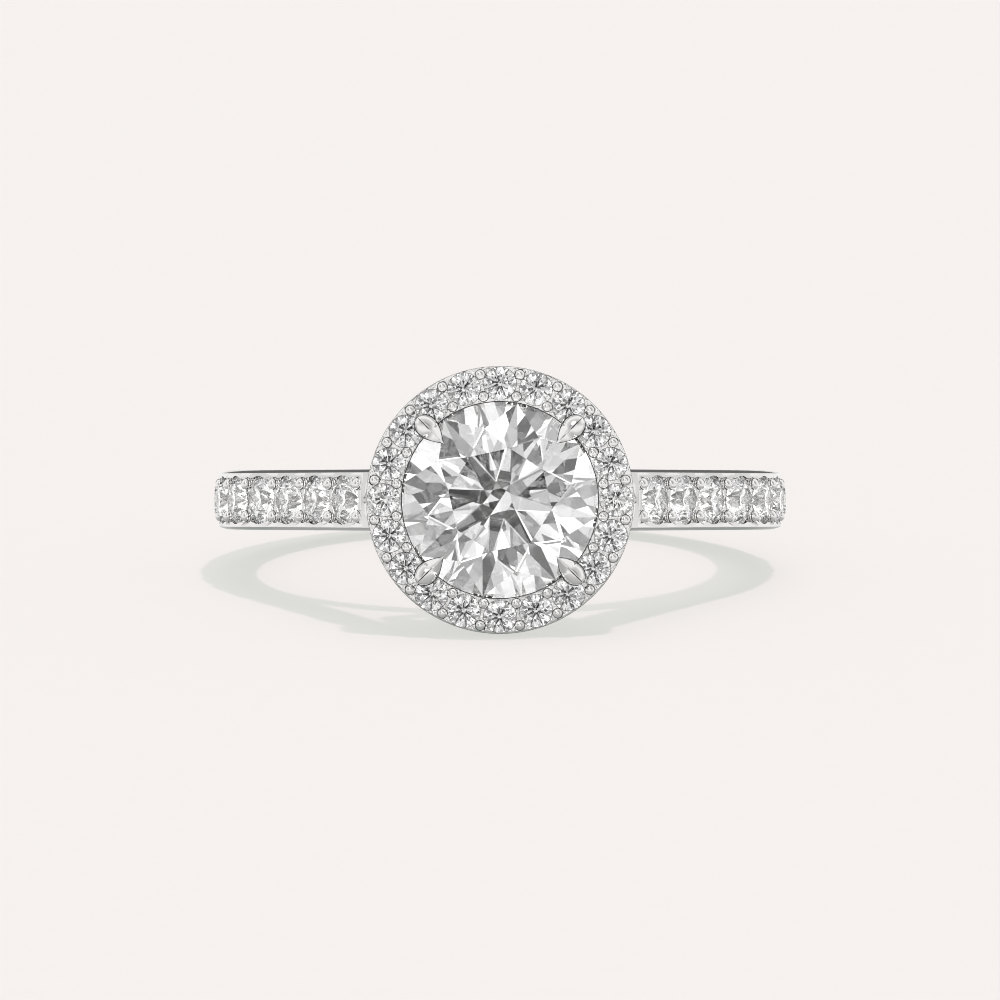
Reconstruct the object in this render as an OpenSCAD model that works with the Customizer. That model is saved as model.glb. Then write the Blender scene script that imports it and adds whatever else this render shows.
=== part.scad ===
// Halo ring: a round brilliant in a four-claw basket, ringed by bead-set
// brilliants, on cathedral shoulders with one bead-set row on each side.
// The ring lies on its side as it rests: on the halo's edge and on the back of
// its shank. +Z is up, and the head points towards -Y.

/* [Shank] */
// Inside diameter of the finger hole
finger_d = 16.5; // [14:0.1:20]
// Thickness of the shank from the finger hole to its outer face
shank_wall = 1.6; // [1.4:0.05:2]
// Width of the shank along the finger
shank_w = 2.05; // [2:0.05:2.6]
// Width of the bevel along each outer edge of the shank
edge_bevel_w = 0.1; // [0.06:0.01:0.12]
// Depth of the bevel along each outer edge of the shank
edge_bevel_h = 0.32; // [0.1:0.01:0.5]
// Bevel along each edge of the finger hole
finger_bevel = 0.15; // [0.05:0.01:0.25]
// Segments in the round faces
round_fn = 96; // [48:4:160]

/* [Shoulders] */
// Angle from the head at which a shoulder leaves the round of the shank
shoulder_angle = 57; // [54:0.5:60]
// Thickness of the shoulder's arch
shoulder_wall = 1.35; // [1.1:0.05:1.5]
// Depth at which the arch runs into the round of the shank
shoulder_set = 0.03; // [0.02:0.01:0.05]
// Thickness of the finger rail that runs under the head
rail_wall = 0.6; // [0.4:0.05:0.8]

/* [Centre stone] */
// Diameter of the centre stone at its girdle
centre_d = 6.5; // [5.5:0.1:7.5]
// Turn of the centre stone in its claws
centre_turn = 35; // [0:1:45]
// Room between the culet and the finger rail
culet_gap = 0.65; // [0.3:0.05:1.5]

/* [Brilliant cut] */
// Width of the table as a share of the diameter
table_share = 0.535; // [0.52:0.005:0.62]
// Height of the crown as a share of the diameter
crown_share = 0.16; // [0.13:0.005:0.17]
// Thickness of the girdle as a share of the diameter
girdle_share = 0.025; // [0.02:0.005:0.05]
// Depth of the pavilion as a share of the diameter
pavilion_share = 0.43; // [0.41:0.005:0.45]
// Reach of the star facets from the table's edge to the girdle
star_share = 0.5; // [0.45:0.05:0.6]
// Reach of the lower girdle facets from the girdle to the culet
lower_share = 0.8; // [0.7:0.01:0.85]

/* [Halo] */
// Diameter of each halo stone
halo_stone_d = 1.08; // [0.9:0.02:1.3]
// Metal between the centre stone's edge and the halo stones
halo_gap = 0.07; // [0.06:0.01:0.2]
// Metal rim outside the halo stones
halo_rim = 0.04; // [0.03:0.01:0.2]
// Least metal between two halo stones
halo_web = 0.1; // [0.08:0.01:0.2]
// Thickness of the halo plate
halo_plate_t = 0.9; // [0.8:0.05:1.3]
// Bevel round the halo plate's lower edge
halo_bevel = 0.15; // [0.05:0.05:0.3]
// Ledge under the centre stone's edge
seat_ledge = 0.3; // [0.2:0.05:0.4]
// Diameter of a halo bead
halo_bead_d = 0.34; // [0.28:0.02:0.4]
// Setback of the halo beads from the plate's rims
halo_bead_set = 0.02; // [0.02:0.01:0.04]

/* [Basket] */
// Diameter of the gallery wire
gallery_wire_d = 0.66; // [0.5:0.02:0.8]
// Room between the finger rail and the gallery wire
gallery_gap = 0.87; // [0.6:0.05:1.2]
// Diameter of a prong
prong_d = 0.7; // [0.5:0.05:0.9]
// Swell of the solder joint round each prong at the gallery
joint_swell = 0.06; // [0.04:0.01:0.1]
// Distance of each prong's foot from the middle of the finger rail
prong_foot_r = 0.95; // [0.8:0.05:1]
// Length of a claw along the radius
claw_len = 1.23; // [1.1:0.01:1.4]
// Width of a claw
claw_w = 0.74; // [0.6:0.02:0.8]
// Reach of a claw's tip over the centre stone's edge
claw_grip = 0.62; // [0.4:0.02:0.8]
// Height of a claw above the halo plate
claw_rise = 0.82; // [0.78:0.02:1]
// Roundness of a claw across: low values make it fuller
claw_round = 0.6; // [0.5:0.05:0.9]
// Share of a wall that a soldered foot runs into
solder_share = 0.3; // [0.2:0.05:0.4]

/* [Shank row] */
// Diameter of each shank stone
row_stone_d = 1.7; // [1.4:0.05:1.7]
// Distance between two shank stones along the row
row_pitch = 1.82; // [1.8:0.02:2]
// Stones in the row on each side
row_count = 8; // [4:1:10]
// Room between the halo's edge and the first beads of the row
row_gap = 0.3; // [0.25:0.05:0.6]
// Depth of the channel that holds the row
channel_depth = 0.1; // [0.05:0.01:0.15]
// Width of the channel's floor
channel_w = 1.42; // [1.3:0.02:1.46]
// Slope of each channel wall, measured across
channel_flare = 0.06; // [0.04:0.01:0.08]
// Length of plain channel beyond the last beads of the row
channel_end = 0.3; // [0.25:0.05:0.5]
// Diameter of a shank bead
row_bead_d = 0.38; // [0.3:0.02:0.44]
// Distance of the shank beads from the middle of the row
row_bead_w = 0.55; // [0.52:0.01:0.58]

/* [Fits] */
// Clearance of a small stone in its seat
stone_fit = 0.02; // [0.01:0.005:0.03]
// Clearance of the centre stone in its seat and claws
centre_fit = 0.02; // [0.01:0.005:0.03]

/* [Hidden] */
overcut = 1;
mains = 8;
main_step = 360 / mains;
half_step = main_step / 2;
sides = 2 * mains;
diagonal = 45;
bead_fn = 24;
wire_fn = 32;

finger_r = finger_d / 2;
shank_r = finger_r + shank_wall;
rail_r = finger_r + rail_wall;
row_r = shank_r - channel_depth;
arch_r = shank_r - shoulder_set;

centre_r = centre_d / 2;
girdle_h = rail_r + culet_gap + (pavilion_share + girdle_share) * centre_d;
table_h = girdle_h + crown_share * centre_d;
plate_top = girdle_h - girdle_share * centre_d / 2;
plate_low = plate_top - halo_plate_t;
plate_hole_r = centre_r - seat_ledge;
halo_c = centre_r + halo_gap + halo_stone_d / 2;
halo_r = halo_c + halo_stone_d / 2 + halo_rim;
halo_pairs = floor(90 / asin((halo_stone_d + halo_web) / (2 * halo_c)));
halo_count = 2 * halo_pairs;
halo_step = 360 / halo_count;
claw_slot = round(diagonal / halo_step - 1 / 2);
claw_slots = [for (s = [claw_slot, halo_pairs - 1 - claw_slot]) each [s, s + halo_pairs]];
claw_root = solder_share * halo_plate_t;
halo_bead_out = halo_r - halo_rim - halo_bead_d / 2 - halo_bead_set;
halo_bead_in = centre_r + halo_gap + halo_bead_d / 2 - halo_bead_set;
claw_tip_r = centre_r - claw_grip;

gallery_h = rail_r + gallery_gap + gallery_wire_d / 2;
gallery_r = plate_hole_r;
prong_top_r = claw_tip_r + claw_len - prong_d / 2;

// The arch and the round cross at a small angle, and each runs on inside the other
run_on = 4 / 3;
foot_lap = run_on * acos(arch_r / shank_r);
arch_low = -shank_r * sin(foot_lap) / 3;
arch_high = (plate_top - claw_root - arch_r * cos(shoulder_angle)) / sin(shoulder_angle);
channel_lap = foot_lap / 8;

row_top = (row_r * sin(shoulder_angle) - halo_r - row_gap) / cos(shoulder_angle);
row_low = row_top - row_count * row_pitch;
row_turn = (channel_end - row_low) / row_r * 180 / PI;

// The ring rests on the halo's lower edge in front and on the shank's edge behind
back_r = shank_r - edge_bevel_h;
halo_low = plate_low + halo_bevel;
rest_tilt = atan((halo_r - shank_w / 2) / (halo_low + back_r));
rest_z = back_r * sin(rest_tilt) + shank_w / 2 * cos(rest_tilt);
front_y = table_h * cos(rest_tilt) + table_r(centre_d) * sin(rest_tilt);
back_y = shank_r * cos(rest_tilt) + (shank_w / 2 - edge_bevel_w) * sin(rest_tilt);
rest_y = (front_y - back_y) / 2;

HALO_STONES = [for (i = [1:halo_count]) str("halo_stone_", i)];
SHANK_STONES = [for (i = [1:2 * row_count]) str("shank_stone_", i)];

// Claw sections from the outer end to the tip: share of the length, of the width, of the height
CLAW_SECTIONS = [
    [0.00, 0.34, 0.50],
    [0.05, 0.66, 0.66],
    [0.16, 0.92, 0.82],
    [0.32, 1.00, 0.94],
    [0.50, 0.96, 1.00],
    [0.68, 0.76, 1.00],
    [0.85, 0.44, 0.97],
    [1.00, 0.08, 0.92]
];
CLAW_ARC = 8;

// Cuts of a brilliant as radius and height, measured from the top of its girdle
function table_r(d) = table_share * d / 2;
function star_r(d) = table_r(d) * cos(half_step)
    + star_share * (d / 2 - table_r(d) * cos(half_step));
function star_h(d) = crown_share * d * (d / 2 - star_r(d) * cos(half_step))
    / (d / 2 - table_r(d));
function lower_r(d) = (1 - lower_share) * d / 2;
function lower_h(d) = -girdle_share * d
    - pavilion_share * d * (1 - (1 - lower_share) * cos(half_step));
function culet_h(d) = -(girdle_share + pavilion_share) * d;
function ring_points(n, r, h, turn) =
    [for (i = [0:n - 1]) [r * cos(360 / n * i + turn), r * sin(360 / n * i + turn), h]];

// A round brilliant: table, stars, bezels, upper and lower girdle facets, pavilion mains
module brilliant(d) {
    points = concat(
        ring_points(mains, table_r(d), crown_share * d, 0),
        ring_points(mains, star_r(d), star_h(d), half_step),
        ring_points(sides, d / 2, 0, 0),
        ring_points(sides, d / 2, -girdle_share * d, 0),
        ring_points(mains, lower_r(d), lower_h(d), half_step),
        [[0, 0, culet_h(d)]]
    );
    star = mains;
    upper = 2 * mains;
    under = upper + sides;
    lower = under + sides;
    culet = lower + mains;
    faces = concat(
        [[for (k = [mains - 1:-1:0]) k]],
        [for (k = [0:mains - 1]) [k, (k + 1) % mains, star + k]],
        [for (k = [0:mains - 1]) [k, star + k, upper + 2 * k, star + (k + mains - 1) % mains]],
        [for (k = [0:mains - 1]) [star + k, upper + 2 * k + 1, upper + 2 * k]],
        [for (k = [0:mains - 1]) [star + k, upper + (2 * k + 2) % sides, upper + 2 * k + 1]],
        [for (j = [0:sides - 1])
            [upper + j, upper + (j + 1) % sides, under + (j + 1) % sides, under + j]],
        [for (k = [0:mains - 1]) [under + 2 * k, under + 2 * k + 1, lower + k]],
        [for (k = [0:mains - 1]) [under + 2 * k + 1, under + (2 * k + 2) % sides, lower + k]],
        [for (k = [0:mains - 1]) [under + 2 * k, lower + k, culet, lower + (k + mains - 1) % mains]]
    );
    polyhedron(points, faces);
}

// The round room that a brilliant needs, with its clearance
module brilliant_room(d, fit) {
    rotate_extrude($fn = round_fn)
        polygon([
            [0, culet_h(d) - 2 * fit],
            [lower_r(d), lower_h(d) - 2 * fit],
            [d / 2 + fit, -girdle_share * d - fit],
            [d / 2 + fit, fit],
            [star_r(d) + fit, star_h(d) + fit],
            [table_r(d) + fit, crown_share * d + fit],
            [0, crown_share * d + fit]
        ]);
}

// Axes of the head: Z out of the finger hole through the centre stone, Y along the finger
module head_axes() {
    rotate([90, 0, 0])
        children();
}

module at_rest() {
    translate([0, rest_y, rest_z])
        rotate([-rest_tilt, 0, 0])
            children();
}

module both_sides() {
    for (turn = [0, 180])
        rotate([0, 0, turn])
            children();
}

// A direction round the head, counted in halo stones from the top
module halo_turn(i) {
    rotate([0, 0, 90 + i * halo_step])
        children();
}

module halo_place(i) {
    halo_turn(i - 1)
        translate([halo_c, 0, plate_top])
            children();
}

// A place on the row's centre line: up the arch from its foot, or down round the shank
module row_place(s) {
    on_arch = s > 0;
    turn = on_arch ? 0 : -s / row_r * 180 / PI;
    rotate([0, shoulder_angle + turn, 0])
        translate([-max(s, 0), 0, on_arch ? row_r - shoulder_set : row_r])
            children();
}

function shank_section(low_r, low_bevel, top_r) = [
    [low_r, low_bevel - shank_w / 2],
    [low_r + low_bevel, -shank_w / 2],
    [top_r - edge_bevel_h, -shank_w / 2],
    [top_r, edge_bevel_w - shank_w / 2],
    [top_r, shank_w / 2 - edge_bevel_w],
    [top_r - edge_bevel_h, shank_w / 2],
    [low_r + low_bevel, shank_w / 2],
    [low_r, shank_w / 2 - low_bevel]
];

function channel_section(top_r) = [
    [top_r - channel_depth, -channel_w / 2],
    [top_r, -channel_w / 2 - channel_flare],
    [top_r + overcut, -channel_w / 2 - channel_flare],
    [top_r + overcut, channel_w / 2 + channel_flare],
    [top_r, channel_w / 2 + channel_flare],
    [top_r - channel_depth, channel_w / 2]
];

// Full round of the shank, open under the head down to the finger rail
module shank() {
    reach = 3 * shank_r;
    open_angle = shoulder_angle - foot_lap;
    difference() {
        rotate_extrude($fn = 2 * round_fn)
            polygon(shank_section(finger_r, finger_bevel, shank_r));
        difference() {
            translate([0, 0, -shank_w])
                linear_extrude(2 * shank_w)
                    polygon([
                        [0, 0],
                        [-reach * sin(open_angle), -reach * cos(open_angle)],
                        [reach * sin(open_angle), -reach * cos(open_angle)]
                    ]);
            cylinder(h = 4 * shank_w, r = rail_r, center = true, $fn = 2 * round_fn);
        }
    }
}

// Straight run up the arch, measured from the foot of the shoulder
module up_the_arch(low, high) {
    rotate([0, shoulder_angle, 0])
        translate([-low, 0, 0])
            rotate([0, -90, 0])
                linear_extrude(high - low)
                    children();
}

module shoulders() {
    difference() {
        both_sides()
            up_the_arch(arch_low, arch_high)
                polygon(shank_section(arch_r - shoulder_wall, 0, arch_r));
        cylinder(h = 2 * table_h, r = plate_hole_r, $fn = round_fn);
    }
}

module halo_plate() {
    rotate_extrude($fn = 2 * round_fn)
        polygon([
            [plate_hole_r, plate_low],
            [halo_r - halo_bevel, plate_low],
            [halo_r, halo_low],
            [halo_r, plate_top],
            [plate_hole_r, plate_top]
        ]);
}

module gallery() {
    translate([0, 0, gallery_h])
        rotate_extrude($fn = round_fn)
            translate([gallery_r, 0])
                circle(d = gallery_wire_d, $fn = bead_fn);
}

// A round wire from one radius and height to another
module wire(r1, h1, r2, h2, d) {
    translate([r1, 0, h1])
        rotate([0, atan2(r2 - r1, h2 - h1), 0])
            cylinder(h = norm([r2 - r1, h2 - h1]), d = d, $fn = wire_fn);
}

module prongs() {
    foot_h = rail_r - solder_share * rail_wall;
    joint_d = max(prong_d, gallery_wire_d) + 2 * joint_swell;
    for (slot = claw_slots)
        halo_turn(slot + 1 / 2) {
            wire(prong_foot_r, foot_h, gallery_r, gallery_h, prong_d);
            translate([gallery_r, 0, gallery_h])
                sphere(d = joint_d, $fn = wire_fn);
            wire(gallery_r, gallery_h, prong_top_r, plate_top - claw_root, prong_d);
        }
}

function claw_section(row) = [
    for (j = [0:CLAW_ARC])
        let (a = 180 / CLAW_ARC * j)
        [
            claw_tip_r + claw_len * (1 - row[0]),
            claw_w / 2 * row[1] * cos(a),
            plate_top - claw_root + (claw_root + claw_rise * row[2]) * pow(sin(a), claw_round)
        ]
];

// A claw: a teardrop with its point towards the centre, pressed over the stone's edge
module claw() {
    n = CLAW_ARC + 1;
    last = len(CLAW_SECTIONS) - 1;
    points = [for (row = CLAW_SECTIONS) each claw_section(row)];
    faces = concat(
        [[for (j = [n - 1:-1:0]) j]],
        [for (i = [0:last - 1], j = [0:n - 1])
            [i * n + j, i * n + (j + 1) % n, (i + 1) * n + j]],
        [for (i = [0:last - 1], j = [0:n - 1])
            [(i + 1) * n + j, i * n + (j + 1) % n, (i + 1) * n + (j + 1) % n]],
        [[for (j = [0:n - 1]) last * n + j]]
    );
    polyhedron(points, faces);
}

module claws() {
    for (slot = claw_slots)
        halo_turn(slot + 1 / 2)
            claw();
}

module halo_beads() {
    for (slot = [0:halo_count - 1]) {
        clawed = len(search(slot, claw_slots)) > 0;
        halo_turn(slot + 1 / 2)
            for (r = clawed ? [halo_bead_out] : [halo_bead_out, halo_bead_in])
                translate([r, 0, plate_top])
                    sphere(d = halo_bead_d, $fn = bead_fn);
    }
}

module row_beads() {
    both_sides()
        for (k = [0:row_count], side = [-1, 1])
            row_place(row_top - k * row_pitch)
                translate([0, side * row_bead_w, channel_depth / 2])
                    sphere(d = row_bead_d, $fn = bead_fn);
}

// The channel of the row, round the shank and up the arch
module channels() {
    both_sides() {
        up_the_arch(-row_r * sin(channel_lap), row_top + channel_end)
            polygon(channel_section(arch_r));
        rotate([-90, 0, 0])
            rotate_extrude(
                angle = row_turn + channel_lap,
                start = shoulder_angle - 90 - channel_lap,
                $fn = 2 * round_fn
            )
                polygon(channel_section(shank_r));
    }
}

module row_seats() {
    both_sides()
        for (k = [0:row_count - 1])
            row_place(row_top - (k + 1 / 2) * row_pitch)
                brilliant_room(row_stone_d, stone_fit);
}

module halo_seats() {
    for (i = [1:halo_count])
        halo_place(i)
            brilliant_room(halo_stone_d, stone_fit);
}

// The soldered metal: one piece from the shank to the claws
module setting() {
    color("gainsboro")
        at_rest()
            difference() {
                union() {
                    difference() {
                        union() {
                            shank();
                            head_axes()
                                shoulders();
                        }
                        head_axes()
                            channels();
                    }
                    head_axes() {
                        halo_plate();
                        gallery();
                        prongs();
                        claws();
                        halo_beads();
                        row_beads();
                    }
                }
                head_axes() {
                    translate([0, 0, girdle_h])
                        brilliant_room(centre_d, centre_fit);
                    halo_seats();
                    row_seats();
                }
            }
}

module centre_stone() {
    color("white")
        at_rest()
            head_axes()
                translate([0, 0, girdle_h])
                    rotate([0, 0, centre_turn])
                        brilliant(centre_d);
}

module halo_stone(i) {
    color("aliceblue")
        at_rest()
            head_axes()
                halo_place(i)
                    brilliant(halo_stone_d);
}

// Shank stones are numbered down the right side from the head, then down the left side
module shank_stone(i) {
    left = i > row_count;
    k = left ? i - row_count : i;
    color("lavender")
        at_rest()
            head_axes()
                rotate([0, 0, left ? 180 : 0])
                    row_place(row_top - (k - 1 / 2) * row_pitch)
                        brilliant(row_stone_d);
}

setting();
centre_stone();
for (i = [1:halo_count])
    halo_stone(i);
for (i = [1:2 * row_count])
    shank_stone(i);
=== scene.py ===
# %% [markdown]
# # A halo ring in white gold
#
# The ring lies on its side on a pale floor: on the halo's edge in front and on the back of its
# shank. The solids come packed from the CAD and hold the sizes. Here every visible surface is
# made again with the detail that a polished ring shows at close range, in the same place.

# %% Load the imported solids
import math

import bmesh
import bpy
from mathutils import Matrix, Vector


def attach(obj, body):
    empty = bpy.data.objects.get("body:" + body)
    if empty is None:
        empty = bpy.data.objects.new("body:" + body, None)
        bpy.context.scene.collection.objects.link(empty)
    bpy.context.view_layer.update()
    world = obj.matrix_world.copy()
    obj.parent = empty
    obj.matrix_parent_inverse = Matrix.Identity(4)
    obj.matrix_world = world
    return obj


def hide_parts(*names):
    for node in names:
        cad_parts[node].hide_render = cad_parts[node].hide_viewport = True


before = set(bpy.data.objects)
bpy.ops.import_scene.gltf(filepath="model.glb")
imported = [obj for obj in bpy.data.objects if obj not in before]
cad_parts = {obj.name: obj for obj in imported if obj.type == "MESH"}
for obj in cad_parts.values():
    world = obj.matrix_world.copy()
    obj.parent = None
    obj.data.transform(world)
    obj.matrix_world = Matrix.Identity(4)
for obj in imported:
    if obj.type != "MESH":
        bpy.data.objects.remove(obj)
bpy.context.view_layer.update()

# %% [markdown]
# ## Sizes and the axes of the head
#
# A goldsmith measures a ring from the finger and from the stone. All sizes are millimetres in
# the axes of the head: X to the right, Y along the finger, Z out of the finger hole through the
# middle of the centre stone. One matrix then lays the finished mesh down as the ring rests and
# turns it to metres, so that no object is ever moved.

# %% Sizes in millimetres
# The shank: bore, outside, finger rail, width, rounded edge, and the shoulder's arch.
FINGER_R = 8.25
SHANK_R = 9.85
RAIL_R = 8.85
SHANK_W = 2.05
EDGE_W, EDGE_H = 0.10, 0.32
SHOULDER = math.radians(57)
SHOULDER_SET = 0.03
SHOULDER_WALL = 1.35

# The head: the centre stone, the halo plate, and its ring of small stones.
CENTRE_D = 6.5
GIRDLE_H = 12.4575
PLATE_TOP = 12.3762
PLATE_LOW = 11.4762
PLATE_HOLE_R = 2.95
HALO_C = 3.86
HALO_R = 4.44
HALO_COUNT = 20
HALO_STONE_D = 1.08

# The row of stones down each side, and the channel that holds it.
ROW_D = 1.7
ROW_PITCH = 1.82
ROW_COUNT = 8
ROW_TOP = 6.31067
CHANNEL_DEPTH = 0.1
CHANNEL_W = 1.42
CHANNEL_FLARE = 0.06

# The cut of a stone, in the shares that a cutter names, and the two that its seat is cut for.
TABLE, CROWN, GIRDLE, PAVILION, STAR, LOWER = 0.533, 0.1622, 0.024, 0.4269, 0.49, 0.80
HALF_GIRDLE, POINT_DEPTH = 0.025, 0.455

# The air round a stone, the rail rubbed over its edge, and what polishing takes off.
FIT = 0.02
RAIL_LIP = -0.045
POLISHED_OFF = 0.008

# How the ring lies at rest.
REST_TILT = math.radians(9.16948)
REST_Y, REST_Z = 1.87176, 2.53056
PER_METRE = 1000

HEAD = (
    Matrix.Scale(1 / PER_METRE, 4)
    @ Matrix.Translation((0, REST_Y, REST_Z))
    @ Matrix.Rotation(-REST_TILT, 4, "X")
    @ Matrix.Rotation(math.radians(90), 4, "X")
)
OUT = (HEAD.to_3x3() @ Vector((0, 0, 1))).normalized()
UP = (HEAD.to_3x3() @ Vector((0, 1, 0))).normalized()
HEART = HEAD @ Vector((0, 0, 0))
print("the head points along", [round(v, 4) for v in OUT])

# %% [markdown]
# ## The finishes
#
# The metal is 18 carat white gold, rhodium plated and polished on a felt wheel: it mirrors the
# room, with faint wheel lines and a little haze that only show in the highlights. A graver cuts
# the metal between the halo's stones, which leaves short bright strokes. Where no wheel reaches,
# in the groove round a bead and along a seat, the metal stays dull; its colour there is painted
# dark, a painted shade that draws a dark line.
# The stones are diamond: their look comes from the cut and a refractive index of 2.417, so the
# facets stay flat and sharp. One function turns sRGB hex to linear, and one adds any node.

# %% Colour and node helpers
def rgba(hex_code):
    """Turn an sRGB hex value to linear red, green and blue, with a full alpha."""
    values = [int(hex_code[k:k + 2], 16) / 255 for k in (1, 3, 5)]
    return (*(v / 12.92 if v <= 0.04045 else ((v + 0.055) / 1.055) ** 2.4 for v in values), 1.0)


def add(tree, kind, settings=None, links=None):
    """Add a node, set its settings, and give each input a value or a link."""
    node = tree.nodes.new(kind)
    for key, value in (settings or {}).items():
        setattr(node, key, value)
    for key, value in (links or {}).items():
        if isinstance(value, bpy.types.NodeSocket):
            tree.links.new(value, node.inputs[key])
        else:
            node.inputs[key].default_value = value
    return node


def new_material(name):
    """A bare material, its tree, and the place on the object that its patterns read."""
    material = bpy.data.materials.new(name)
    material.use_nodes = True
    tree = material.node_tree
    tree.nodes.clear()
    return material, tree, add(tree, "ShaderNodeTexCoord").outputs["Object"]


# %% Polished white gold
# In millimetres: a patch of haze, and the spacing of a graver's strokes. The wheel's lines run
# round the ring, so their noise is pressed together across them.
HAZE_MM, STROKE_MM = 0.6, 0.11
LINES_PRESSED, LINE_SCALE = 6, 0.17
LINE_STRENGTH, LINE_DEPTH = 0.035, 0.00001


def polished_metal(name, hex_code, rough, haze, line_mm, stroke_depth=0.0):
    material, tree, place = new_material(name)
    stretch = add(tree, "ShaderNodeMapping", {}, {
        "Vector": place, "Scale": (PER_METRE, PER_METRE, LINES_PRESSED * PER_METRE)})
    lines = add(tree, "ShaderNodeTexNoise", {}, {
        "Vector": stretch.outputs["Vector"], "Scale": LINE_SCALE / line_mm, "Detail": 3.0,
        "Roughness": 0.6})
    cloud = add(tree, "ShaderNodeTexNoise", {}, {
        "Vector": place, "Scale": PER_METRE / HAZE_MM, "Detail": 2.0, "Roughness": 0.5})
    gloss = add(tree, "ShaderNodeMapRange", {}, {
        "Value": cloud.outputs["Fac"], "From Min": 0.3, "From Max": 0.7,
        "To Min": rough, "To Max": rough + haze})
    bump = add(tree, "ShaderNodeBump", {}, {
        "Height": lines.outputs["Fac"], "Strength": LINE_STRENGTH, "Distance": LINE_DEPTH})
    if stroke_depth:
        strokes = add(tree, "ShaderNodeTexNoise", {}, {
            "Vector": place, "Scale": PER_METRE / STROKE_MM, "Detail": 1.0, "Roughness": 0.5})
        bump = add(tree, "ShaderNodeBump", {}, {
            "Height": strokes.outputs["Fac"], "Strength": 1.0,
            "Distance": stroke_depth / PER_METRE, "Normal": bump.outputs["Normal"]})
    shader = add(tree, "ShaderNodeBsdfPrincipled", {}, {
        "Base Color": rgba(hex_code), "Metallic": 1.0, "Roughness": gloss.outputs["Result"],
        "Normal": bump.outputs["Normal"]})
    add(tree, "ShaderNodeOutputMaterial", {}, {"Surface": shader.outputs["BSDF"]})
    return material


WHITE_GOLD = polished_metal("rhodium_plated_white_gold", "#F4F3F2", 0.05, 0.06, 0.03)
SEAT_GOLD = polished_metal("bright_cut_white_gold", "#F7F6F5", 0.12, 0.05, 0.05, 0.09)
# Its dark colour is painted shade; only its roughness is the real dull finish.
DULL_GOLD_PAINTED_SHADE = polished_metal("dull_white_gold_painted_shade", "#5E5E60", 0.42, 0.12, 0.05)
print("metals:", WHITE_GOLD.name, SEAT_GOLD.name, DULL_GOLD_PAINTED_SHADE.name)

# %% Diamond
# Clear stone, with no colour of its own at this size and a grain too fine to see. Those of the
# shank rub against everything, so their facets mirror less sharply.
GRAIN_MM, GRAIN_CHANGE = 0.025, 0.004


def cut_diamond(name, rough):
    material, tree, place = new_material(name)
    grain = add(tree, "ShaderNodeTexNoise", {}, {
        "Vector": place, "Scale": PER_METRE / GRAIN_MM, "Detail": 1.0})
    polish = add(tree, "ShaderNodeMapRange", {}, {
        "Value": grain.outputs["Fac"], "To Min": rough, "To Max": rough + GRAIN_CHANGE})
    shader = add(tree, "ShaderNodeBsdfPrincipled", {}, {
        "Base Color": rgba("#FFFFFF"), "Roughness": polish.outputs["Result"], "IOR": 2.417,
        "Transmission Weight": 1.0})
    add(tree, "ShaderNodeOutputMaterial", {}, {"Surface": shader.outputs["BSDF"]})
    return material


CLEAR_DIAMOND = cut_diamond("brilliant_cut_diamond", 0.0)
MELEE_DIAMOND = cut_diamond("melee_diamond", 0.0)
WORN_DIAMOND = cut_diamond("worn_melee_diamond", 0.07)
print("stones:", CLEAR_DIAMOND.name, MELEE_DIAMOND.name, WORN_DIAMOND.name)

# %% [markdown]
# ## Mesh tools
#
# Turned parts are lathed from a profile, swept parts from a row of sections. Both are made in
# millimetres in the axes of the head, where numbers are easy to read, and `finish_piece` lays
# the mesh down at rest, turns it to metres and gives it its finish. Cuts are made as a jeweller
# makes them, with a tool of the right form: a second mesh is taken away from the first.


# %% Lathe and sweep
def skin(bm, rings, closed_path=False):
    """Join rings of points with faces; a ring of one point is a pole."""
    rows = [[bm.verts.new(p) for p in ring] for ring in rings]
    pairs = list(zip(rows, rows[1:])) + ([(rows[-1], rows[0])] if closed_path else [])
    for one, two in pairs:
        for k in range(max(len(one), len(two))):
            a, b = one[k % len(one)], one[(k + 1) % len(one)]
            c, d = two[(k + 1) % len(two)], two[k % len(two)]
            bm.faces.new(list(dict.fromkeys([a, b, c, d])))
    return rows


def close_ends(bm, rows):
    """Close the first and last ring of a sweep, and turn all faces outwards."""
    bm.faces.new(rows[0])
    bm.faces.new(rows[-1][::-1])
    bmesh.ops.recalc_face_normals(bm, faces=bm.faces)


def lathe(bm, profile, steps, closed=True):
    """Turn a profile of (radius, height); it is closed on itself or ends on the axis."""
    rings = []
    for r, h in profile:
        if r < 1e-9:
            rings.append([(0, 0, h)])
        else:
            turns = [2 * math.pi * k / steps for k in range(steps)]
            rings.append([(r * math.cos(a), r * math.sin(a), h) for a in turns])
    skin(bm, rings, closed_path=closed)
    bmesh.ops.recalc_face_normals(bm, faces=bm.faces)


# %% From mesh to piece
def gather(bm, part):
    """Move one finished part into the mesh that holds all of its kind."""
    loose = bpy.data.meshes.new("part")
    part.to_mesh(loose)
    part.free()
    bm.from_mesh(loose)
    bpy.data.meshes.remove(loose)


def in_scene(name, data):
    thing = bpy.data.objects.new(name, data)
    bpy.context.scene.collection.objects.link(thing)
    return thing


def raw_object(name, bm, *finishes):
    mesh = bpy.data.meshes.new(name)
    bm.to_mesh(mesh)
    bm.free()
    for finish in finishes:
        mesh.materials.append(finish)
    return in_scene(name, mesh)


def applied(thing):
    """Turn an object with modifiers into a plain mesh."""
    deps = bpy.context.evaluated_depsgraph_get()
    mesh = bpy.data.meshes.new_from_object(thing.evaluated_get(deps))
    thing.modifiers.clear()
    old, thing.data = thing.data, mesh
    bpy.data.meshes.remove(old)
    mesh.name = thing.name
    return thing


def carve(thing, tool):
    """Take a tool's mesh away from a piece, and the tool with it."""
    cut = thing.modifiers.new("cut", "BOOLEAN")
    cut.operation, cut.solver, cut.object = "DIFFERENCE", "EXACT", tool
    applied(thing)
    bpy.data.objects.remove(tool)


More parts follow.
